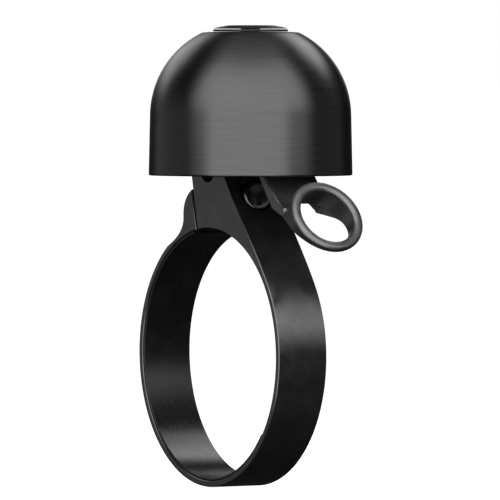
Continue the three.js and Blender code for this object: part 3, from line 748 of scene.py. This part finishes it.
def bolt_rings():
    """The washer under the bolt's head and the threaded insert in the ear."""
    # Hole, radius, foot and top of each along the bolt from its head's face, in millimetres.
    rings = {
        "clamp_bolt_washer": (1.3, 2.0, -2.85, -2.45),
        "clamp_thread_insert": (1.3, 1.7, -11.95, -9.95),
    }
    for node, (hole, radius, low, high) in rings.items():
        profile = washer_profile(hole * MM, radius * MM, low * MM, high * MM, 0.08 * MM)
        turned_piece(f"{node}_fine", node, profile, BOLT_HEAD, PIN_MATERIAL, BOLT_AXIS, 64)


# ---------------------------------------------------------------- bracket and hinge

BRACKET_HALF = 2.45 * MM
EAR_INNER = 1.45 * MM
EAR_RADIUS = 1.9 * MM
BUSH_RADIUS = 1.25 * MM
BRACKET_FOOT = 27.3
EAR_FOOT_X = 6.3
PIN_RADIUS = 0.75 * MM
PIN_HEAD_RADIUS = 1.3 * MM
PIN_HEAD = 0.55 * MM
GROOVE_FOOT = 4.05 * MM
GROOVE_WIDTH = 0.45 * MM
GROOVE_RADIUS = 0.5 * MM
PIN_HOLE = 0.83 * MM
FLANGE_RADIUS = 1.7 * MM
FLANGE_FOOT = 2.5 * MM
FLANGE_TOP = 2.65 * MM


def flat(corners):
    """Corners in millimetres as an outline in metres, each corner eased by its third number."""
    return rounded([(x * MM, z * MM, r * MM) for x, z, r in corners], closed=True, steps=4)


def bracket_wall():
    """The wall and the platform that carries the post, as one bent outline."""
    left, right, wall = -2.1, 7.3, 1.4
    under = 34.6
    top = 36.2
    chamfer = 0.5
    return flat([
        (left, BRACKET_FOOT, 0.3),
        (wall, BRACKET_FOOT, 0),
        (wall, under, 0.6),
        (right - chamfer, under, 0.3),
        (right, under + chamfer, 0.3),
        (right, top, 0.3),
        (left + chamfer, top, 0.3),
        (left, top - chamfer, 0.3),
    ])


def bracket_ear():
    """One hinge ear, rounded about the pivot."""
    x, z = PIVOT.x / MM, PIVOT.z / MM
    ear = EAR_RADIUS / MM
    tip = [(p.x, p.y, 0) for p in arc((x, z), ear, -80, 80, 24)]
    return flat([
        (1, BRACKET_FOOT, 0),
        (EAR_FOOT_X, BRACKET_FOOT, 0.3),
        (EAR_FOOT_X, z - ear, 0.5),
        (x, z - ear, 0),
        *tip,
        (x, z + ear, 0),
        (1, z + ear, 0),
    ])


def inner_bracket():
    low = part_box("inner_bracket")[0]
    obj = as_object("inner_bracket_fine", plate(bracket_wall(), -BRACKET_HALF, BRACKET_HALF, 0.15 * MM))
    ear = bracket_ear()
    tongue_half = 1.2 * MM
    tie_half = 2.4 * MM
    inside = BRACKET_HALF - 0.001 * MM
    joined = [
        box_solid((low[0], -tongue_half, low[2]), (1.9 * MM, tongue_half, 27.8 * MM)),
        plate(ear, -inside, -EAR_INNER, 0.12 * MM),
        plate(ear, EAR_INNER, inside, 0.12 * MM),
        box_solid((4.6 * MM, -tie_half, 27.302 * MM), (6.29 * MM, tie_half, 28.4 * MM)),
    ]
    combine(obj, "UNION", joined)
    past = 4 * MM
    leg_hole = Vector((0, -SPRING_HALF, PIVOT.z - SPRING_RADIUS))
    cuts = [
        rod(PIVOT, Y_AXIS, -past, past, BUSH_RADIUS + 0.1 * MM),
        rod(CROSS_HOLE, Y_AXIS, -past, past, CROSS_PASSAGE, 40),
        rod(DOME_AXIS, Z_AXIS, 34 * MM, 37 * MM, 2.0 * MM),
        rod(leg_hole, X_AXIS, 0.4 * MM, 3 * MM, 0.4 * MM, 24),
    ]
    combine(obj, "DIFFERENCE", cuts)
    stand_for(obj, "inner_bracket", CLAMP_MATERIAL)


def hinge():
    """The pivot pin, its clip and the two flanged bushes."""
    low, high = span("pivot_pin", 1)
    under_head = low + PIN_HEAD
    groove_top = GROOVE_FOOT + GROOVE_WIDTH
    pin = rounded([
        (0, low, 0),
        (PIN_HEAD_RADIUS, low, 0.15 * MM),
        (PIN_HEAD_RADIUS, under_head, 0.05 * MM),
        (PIN_RADIUS, under_head, 0),
        (PIN_RADIUS, GROOVE_FOOT, 0),
        (GROOVE_RADIUS, GROOVE_FOOT, 0),
        (GROOVE_RADIUS, groove_top, 0),
        (PIN_RADIUS, groove_top, 0),
        (PIN_RADIUS, high, 0.12 * MM),
        (0, high, 0),
    ], steps=4)
    turned_piece("pivot_pin_fine", "pivot_pin", pin, PIVOT, PIN_MATERIAL, Y_AXIS, 64)
    for node, side in (("pivot_bush_near", -1), ("pivot_bush_far", 1)):
        bush = rounded([
            (PIN_HOLE, EAR_INNER, 0.05 * MM),
            (BUSH_RADIUS, EAR_INNER, 0.05 * MM),
            (BUSH_RADIUS, FLANGE_FOOT, 0),
            (FLANGE_RADIUS, FLANGE_FOOT, 0.04 * MM),
            (FLANGE_RADIUS, FLANGE_TOP, 0.04 * MM),
            (PIN_HOLE, FLANGE_TOP, 0.05 * MM),
        ], closed=True, steps=3)
        turned_piece(f"{node}_fine", node, bush, PIVOT, BRASS_MATERIAL, Y_AXIS * side, 64)
    clip_low, clip_high = span("pivot_clip", 1)
    ring = washer_profile(0.58 * MM, 1.5 * MM, clip_low, clip_high, 0.06 * MM)
    clip = as_object("pivot_clip_fine", lathe(ring, PIVOT, Y_AXIS, 64))
    mouth_half = 0.45 * MM
    mouth_low = (PIVOT.x - mouth_half, clip_low - MM, PIVOT.z)
    mouth_high = (PIVOT.x + mouth_half, clip_high + MM, PIVOT.z + 2 * MM)
    combine(clip, "DIFFERENCE", [box_solid(mouth_low, mouth_high)])
    stand_for(clip, "pivot_clip", PIN_MATERIAL)


# ---------------------------------------------------------------- striker

STRIP_LEAN = math.radians(37)
ALONG = Vector((math.sin(STRIP_LEAN), 0, -math.cos(STRIP_LEAN)))
ACROSS = Vector((math.cos(STRIP_LEAN), 0, math.sin(STRIP_LEAN)))
STRIP_THICKNESS = 1.3 * MM
STRIP_HALF = 3.75 * MM
LOOP_CENTRE = Vector((22.6 * MM, 0, 17.9 * MM))
LOOP_TILT = math.radians(32.3)
LOOP_AXIS = Vector((math.cos(LOOP_TILT), 0, math.sin(LOOP_TILT)))
LOOP_UP = Vector((-math.sin(LOOP_TILT), 0, math.cos(LOOP_TILT)))
LOOP_RADIUS = 4.96 * MM
LOOP_HOLE = 3.66 * MM
LOOP_EASE = 0.22 * MM
RIM_INSIDE = 0.6 * MM
RIM_OUTSIDE = 0.62 * MM
RIM_LAND = (4.2 * MM, 4.45 * MM)
DEEPEST_WALL = 5.5 * MM
OUTER_PROBE = 4.5 * MM
PARALLEL = 1e-12
TAPER_START = 0.5 * MM
TAPER_END = 2.6 * MM
FRONT_TAPER = 0.24
BACK_TAPER = 0.04
HUB_RADIUS = 1.8 * MM
HAMMER_HOLE = 0.9 * MM
RELIEF_HALF = 2.2 * MM
RELIEF_TOP = 19.25 * MM
RELIEF_CORNER = 0.8 * MM
SKIN_VOXEL = 0.09 * MM
HAMMER_FOOT = PIVOT + ALONG * 7.9 * MM + ACROSS * STRIP_THICKNESS / 2
# The underside of the bend and the loop, from the strip outwards, in millimetres (X, Z).
UNDERSIDE = [(14.55, 19.3), (15.0, 18.75), (15.76, 18.34), (17.2, 17.75), (19.5, 17.0), (21.3, 15.8),
             (22.85, 14.7), (24.4, 13.1), (25.6, 11.4)]


def underside():
    return [p * MM for p in spline(UNDERSIDE, 10)]


def wall_depth(height, line):
    """How far the loop's wall reaches back at a height along LOOP_UP, down to the underside."""
    start = LOOP_CENTRE + LOOP_UP * height
    best = DEEPEST_WALL
    back = Vector((-LOOP_AXIS.x, -LOOP_AXIS.z))
    for a, b in zip(line, line[1:]):
        edge = b - a
        cross = back.x * edge.y - back.y * edge.x
        if abs(cross) < PARALLEL:
            continue
        gap = a - Vector((start.x, start.z))
        depth = (gap.x * edge.y - gap.y * edge.x) / cross
        share = (gap.x * back.y - gap.y * back.x) / cross
        if 0 <= share <= 1 and 0 < depth < best:
            best = depth
    return best


def outer_radius(depth):
    """The loop's outer wall narrows behind its front rim."""
    front = max(0.0, min(depth, TAPER_END) - TAPER_START)
    back = max(0.0, depth - TAPER_END)
    return LOOP_RADIUS - FRONT_TAPER * front - BACK_TAPER * back


def loop_section(angle, line):
    """The loop's wall at one angle, as (radius, depth) points."""
    inner_depth = wall_depth(LOOP_HOLE * math.sin(angle), line)
    outer_depth = wall_depth(OUTER_PROBE * math.sin(angle), line)
    front = bezier([(LOOP_HOLE, RIM_INSIDE), (LOOP_HOLE, 0), (RIM_LAND[0], 0)], 6)
    front += bezier([(RIM_LAND[1], 0), (LOOP_RADIUS, 0), (LOOP_RADIUS, RIM_OUTSIDE)], 7)
    wall = []
    for i in range(1, 9):
        depth = RIM_OUTSIDE + (outer_depth - LOOP_EASE - RIM_OUTSIDE) * i / 8
        wall.append(Vector((outer_radius(depth), depth)))
    edge = outer_radius(outer_depth)
    outer_turn = [(edge, outer_depth - LOOP_EASE), (edge, outer_depth), (edge - LOOP_EASE, outer_depth)]
    inside_end = inner_depth - LOOP_EASE
    inner_turn = [(LOOP_HOLE + LOOP_EASE, inner_depth), (LOOP_HOLE, inner_depth), (LOOP_HOLE, inside_end)]
    back = [*bezier(outer_turn, 4)[1:], *bezier(inner_turn, 4)]
    inside = [Vector((LOOP_HOLE, inside_end + (RIM_INSIDE - inside_end) * i / 8)) for i in range(1, 8)]
    return [*front, *wall, *back, *inside]


def loop_solid():
    """The thumb loop: a ring whose wall reaches back to the underside all the way round."""
    line = underside()
    bm = bmesh.new()
    rings = []
    turns = 160
    for i in range(turns):
        angle = 2 * math.pi * i / turns
        out = Y_AXIS * math.cos(angle) + LOOP_UP * math.sin(angle)
        ring = [bm.verts.new(LOOP_CENTRE + out * r - LOOP_AXIS * d) for r, d in loop_section(angle, line)]
        rings.append(ring)
    grid_faces(bm, rings, closed_grid=True)
    bmesh.ops.recalc_face_normals(bm, faces=bm.faces)
    return bm


def strip_outline():
    """The strip from the pivot down to its bend, from the side."""
    half = STRIP_THICKNESS / 2

    def side(distance, shift):
        point = PIVOT + ALONG * distance * MM + ACROSS * shift
        return Vector((point.x, point.z))

    bottom = [p for p in underside() if 15.2 * MM < p.x < 18.3 * MM]
    inner = [*[side(d, -half) for d in (0, 3, 6, 9, 12, 13.2)], *bottom]
    bend = [(18.2 * MM, 18.7 * MM), (17.4 * MM, 18.85 * MM), (16.2 * MM, 19.75 * MM)]
    top = bezier([*bend, side(10.4, half)], 16)
    return [*inner, *top, *[side(d, half) for d in (9, 6, 3)], side(0, half)]


def bend_relief():
    """The opening that carries the loop's hole on through the strip's bend."""
    foot = 12 * MM
    section = rounded([
        (-RELIEF_HALF, foot, 0),
        (RELIEF_HALF, foot, 0),
        (RELIEF_HALF, RELIEF_TOP, RELIEF_CORNER),
        (-RELIEF_HALF, RELIEF_TOP, RELIEF_CORNER),
    ], closed=True, steps=8)
    bm = bmesh.new()
    rings = [[bm.verts.new((x, y, z)) for y, z in section] for x in (13 * MM, 18.1 * MM)]
    grid_faces(bm, rings)
    bm.faces.new(rings[0])
    bm.faces.new(rings[1])
    bmesh.ops.recalc_face_normals(bm, faces=bm.faces)
    return bm


def striker_lever():
    """The strip, its hinge knuckles and the loop as one piece, with one softened skin."""
    obj = as_object("striker_lever_fine", plate(strip_outline(), -STRIP_HALF, STRIP_HALF, 0.2 * MM))
    combine(obj, "UNION", [rod(PIVOT, Y_AXIS, -STRIP_HALF, STRIP_HALF, HUB_RADIUS)])
    combine(obj, "DIFFERENCE", [
        rod(PIVOT, Y_AXIS, -2.75 * MM, 2.75 * MM, 2.6 * MM),
        rod(LOOP_CENTRE, LOOP_AXIS, -9 * MM, 4 * MM, LOOP_HOLE + 0.4 * MM, 120),
    ])
    combine(obj, "UNION", [loop_solid()])
    combine(obj, "DIFFERENCE", [bend_relief()])
    remesh = obj.modifiers.new("skin", "REMESH")
    remesh.mode = "VOXEL"
    remesh.voxel_size = SKIN_VOXEL
    ease = obj.modifiers.new("ease", "SMOOTH")
    ease.factor = 0.5
    ease.iterations = 10
    apply_modifiers(obj)
    combine(obj, "DIFFERENCE", [
        rod(PIVOT, Y_AXIS, -5 * MM, 5 * MM, PIN_HOLE),
        rod(HAMMER_FOOT, ACROSS, -3 * MM, 2 * MM, HAMMER_HOLE, 40),
    ])
    stand_for(obj, "striker_lever", LEVER_MATERIAL, 40)


def hammer():
    """The hammer's round-nosed head with its tail through the strip, and the collar on the tail."""
    reach = 2.0 * MM
    radius = 1.5 * MM
    tail = 0.8 * MM
    tail_end = -2.1 * MM
    gap = 0.15 * MM
    head = rounded([
        (0, tail_end, 0),
        (tail, tail_end, 0.2 * MM),
        (tail, gap, 0.03 * MM),
        (radius, gap, 0.15 * MM),
        (radius, reach, 0),
    ], steps=4)
    tip = arc((0, reach), radius, 0, 90, 16)[1:-1]
    profile = [*head, *tip, Vector((0, reach + radius))]
    turned_piece("hammer_fine", "hammer", profile, HAMMER_FOOT, BRASS_MATERIAL, ACROSS, 72)
    top = -STRIP_THICKNESS - gap
    collar = washer_profile(HAMMER_HOLE, radius, top - 0.5 * MM, top, 0.1 * MM)
    turned_piece("hammer_collar_fine", "hammer_collar", collar, HAMMER_FOOT, PIN_MATERIAL, ACROSS, 64)


# ---------------------------------------------------------------- spring and bumper

SPRING_RADIUS = 1.25 * MM
SPRING_WIRE = 0.25 * MM
SPRING_HALF = 0.95 * MM
SPRING_TURNS = 3
WALL_LEG = 6.2 * MM
STRIP_LEG = 4.6 * MM
COIL_STEPS = 132
WALL_LEG_STEPS = 12
STRIP_LEG_STEPS = 10


def spring_path():
    """The wire's centre line: a leg into the bracket's wall, the coil, and a leg along the strip."""
    start = math.radians(270)
    sweep = STRIP_LEAN - math.pi / 2 + 2 * math.pi * SPRING_TURNS

    def coil(share):
        angle = start + sweep * share
        return PIVOT + Vector((SPRING_RADIUS * math.cos(angle), SPRING_HALF * (2 * share - 1),
                               SPRING_RADIUS * math.sin(angle)))

    turns = [coil(i / COIL_STEPS) for i in range(COIL_STEPS + 1)]
    wall_leg = [turns[0] - X_AXIS * WALL_LEG * (1 - i / WALL_LEG_STEPS) for i in range(WALL_LEG_STEPS)]
    strip_leg = [turns[-1] + ALONG * STRIP_LEG * i / STRIP_LEG_STEPS for i in range(1, STRIP_LEG_STEPS + 1)]
    return [*wall_leg, *turns, *strip_leg]


def return_spring():
    path = spring_path()
    bm = bmesh.new()
    rings = []
    sides = 14
    for i, here in enumerate(path):
        along = (path[min(i + 1, len(path) - 1)] - path[max(i - 1, 0)]).normalized()
        side = Y_AXIS.cross(along).normalized()
        up = along.cross(side)
        last = i in (0, len(path) - 1)
        radius = SPRING_WIRE * (0.8 if last else 1)
        rings.append([bm.verts.new(here + (side * math.cos(a) + up * math.sin(a)) * radius)
                      for a in (2 * math.pi * k / sides for k in range(sides))])
    grid_faces(bm, rings)
    bm.faces.new(rings[0])
    bm.faces.new(rings[-1])
    bmesh.ops.recalc_face_normals(bm, faces=bm.faces)
    obj = as_object("return_spring_fine", bm)
    stand_for(obj, "return_spring", SPRING_MATERIAL, 50)


def stop_bumper():
    foot = Vector((EAR_FOOT_X * MM, -0.9 * MM, 27.85 * MM))
    low = 0.15 * MM
    high = 1.0 * MM
    radius = 0.85 * MM
    profile = rounded([
        (0, low, 0),
        (radius, low, 0.1 * MM),
        (radius, 0.8 * MM, 0.2 * MM),
        (0.55 * MM, high, 0.3 * MM),
        (0, high, 0),
    ], steps=5)
    turned_piece("stop_bumper_fine", "stop_bumper", profile, foot, RUBBER_MATERIAL, X_AXIS, 48)


# ---------------------------------------------------------------- floor, light and camera

VIEW_AZIMUTH = math.radians(57.9)
VIEW_ELEVATION = math.radians(1.3)
VIEW_DISTANCE = 1.0
PIXELS_PER_METRE = 7930
IMAGE_SIDE = 500
SENSOR = 36
TO_CAMERA = Vector((math.sin(VIEW_AZIMUTH) * math.cos(VIEW_ELEVATION),
                    -math.cos(VIEW_AZIMUTH) * math.cos(VIEW_ELEVATION), math.sin(VIEW_ELEVATION)))
VIEW_RIGHT = Vector((math.cos(VIEW_AZIMUTH), math.sin(VIEW_AZIMUTH), 0))
VIEW_UP = TO_CAMERA.cross(VIEW_RIGHT)
AIM = VIEW_RIGHT * 2.295 * MM + VIEW_UP * 13.11 * MM
TENT_CENTRE = DOME_AXIS + Z_AXIS * 15 * MM
FLOOR_HALF = 30
FLOOR_GAP = 0.4 * MM
ROOM_STRENGTH = 0.1
WHITE = (1, 1, 1, 1)


def camera():
    data = bpy.data.cameras.new("camera")
    data.sensor_width = SENSOR
    data.lens = SENSOR * PIXELS_PER_METRE * VIEW_DISTANCE / IMAGE_SIDE
    data.clip_start, data.clip_end = 0.01, 20
    obj = bpy.data.objects.new("camera", data)
    bpy.context.scene.collection.objects.link(obj)
    obj.location = AIM + TO_CAMERA * VIEW_DISTANCE
    obj.rotation_mode = "QUATERNION"
    obj.rotation_quaternion = (-TO_CAMERA).to_track_quat("-Z", "Y")
    bpy.context.scene.camera = obj


TENT_RADIUS = 0.16
TENT_POWER = 1.35
AMBIENT = 0.012
# Soft lights on the tent as seen from its centre: turn from the camera and height, with the half-width
# and half-height of each, the width of its soft edge (all degrees) and its strength.
SOFTBOXES = {
    "front": (0, 37, 68, 28, 13, 1.12),
    "front_low": (-4, -12, 45, 24, 7, 0.82),
    "overhead": (0, 82, 180, 14, 10, 0.2),
    "side_right": (100, 5, 24, 18, 10, 0.07),
    "side_left": (-104, 0, 28, 16, 10, 0.14),
    "rim_right": (140, 45, 24, 10, 7, 1.5),
    "rim_left": (-143, 34, 20, 13, 8, 0.95),
    "back": (180, 14, 20, 6, 6, 0.3),
}


def tent_glow(f):
    """The tent's brightness by direction from its centre, as a node output."""
    way = f.node("ShaderNodeVectorMath", {0: f.place}, operation="NORMALIZE").outputs[0]
    parts = f.node("ShaderNodeSeparateXYZ", {0: way}).outputs
    turn = f.math("DEGREES", f.math("ARCTAN2", parts[0], f.math("MULTIPLY", parts[1], -1.0)))
    height = f.math("DEGREES", f.math("ARCSINE", parts[2]))
    total = AMBIENT
    for middle_turn, middle_height, half_turn, half_height, soft, strength in SOFTBOXES.values():
        shares = []
        for value, centre, half in ((turn, middle_turn, half_turn), (height, middle_height, half_height)):
            around = f.node("ShaderNodeMath", {0: value, 1: centre + 180, 2: centre - 180}, operation="WRAP")
            away = f.math("ABSOLUTE", f.math("SUBTRACT", around.outputs[0], centre))
            edges = {"Value": away, "From Min": half - soft, "From Max": half + soft}
            fall = {**edges, "To Min": 1, "To Max": 0}
            step = f.node("ShaderNodeMapRange", fall, interpolation_type="SMOOTHSTEP")
            shares.append(step.outputs["Result"])
        glow = f.math("MULTIPLY", f.math("MULTIPLY", *shares), strength)
        total = f.math("ADD", glow, total)
    return f.math("MULTIPLY", total, TENT_POWER)


def light_tent():
    """A light tent round the bell: seen only in what the bell mirrors, and as light on it."""
    f = Finish("tent_glow")
    f.tree.nodes.remove(f.shader)
    glow = f.node("ShaderNodeEmission", {"Strength": tent_glow(f)})
    f.tree.links.new(glow.outputs[0], f.tree.nodes["Material Output"].inputs["Surface"])
    bm = bmesh.new()
    bmesh.ops.create_uvsphere(bm, u_segments=96, v_segments=48, radius=TENT_RADIUS)
    obj = as_object("light_tent", bm)
    obj.location = TENT_CENTRE
    obj.rotation_euler.z = VIEW_AZIMUTH
    obj.data.materials.append(f.material)
    obj.visible_camera = False
    obj.visible_shadow = False


def floor():
    """A plain pale floor under the band, with a faint grain; it lights nothing and is not mirrored."""
    f = Finish("floor_pale")
    tone = f.ramp(f.noise(9, detail=5), grey(0.86), grey(0.9))
    material = f.finish(Base_Color=tone, Roughness=0.7, Emission_Color=WHITE, Emission_Strength=1.0)
    bm = bmesh.new()
    bmesh.ops.create_grid(bm, x_segments=2, y_segments=2, size=FLOOR_HALF)
    obj = as_object("floor", bm)
    obj.location.z = -BAND_RADIUS - FLOOR_GAP
    obj.data.materials.append(material)
    obj.visible_glossy = False
    obj.visible_diffuse = False


def world():
    """White behind everything, and a dim room outside the tent."""
    made = bpy.data.worlds.new("studio")
    bpy.context.scene.world = made
    made.use_nodes = True
    tree = made.node_tree
    out = tree.nodes["World Output"]
    room = tree.nodes["Background"]
    room.inputs["Color"].default_value = WHITE
    room.inputs["Strength"].default_value = ROOM_STRENGTH
    white = tree.nodes.new("ShaderNodeBackground")
    white.inputs["Color"].default_value = WHITE
    white.inputs["Strength"].default_value = 1.0
    seen = tree.nodes.new("ShaderNodeLightPath")
    mix = tree.nodes.new("ShaderNodeMixShader")
    tree.links.new(seen.outputs["Is Camera Ray"], mix.inputs[0])
    tree.links.new(room.outputs[0], mix.inputs[1])
    tree.links.new(white.outputs[0], mix.inputs[2])
    tree.links.new(mix.outputs[0], out.inputs["Surface"])


def studio():
    bpy.context.scene.view_settings.view_transform = "Standard"
    camera()
    world()
    floor()
    light_tent()


# ---------------------------------------------------------------- the whole bell

dome_stack()
locknut()
clamp_body()
clamp_liner()
clamp_bolt()
bracket_screw()
bolt_rings()
inner_bracket()
hinge()
striker_lever()
hammer()
return_spring()
stop_bumper()
studio()
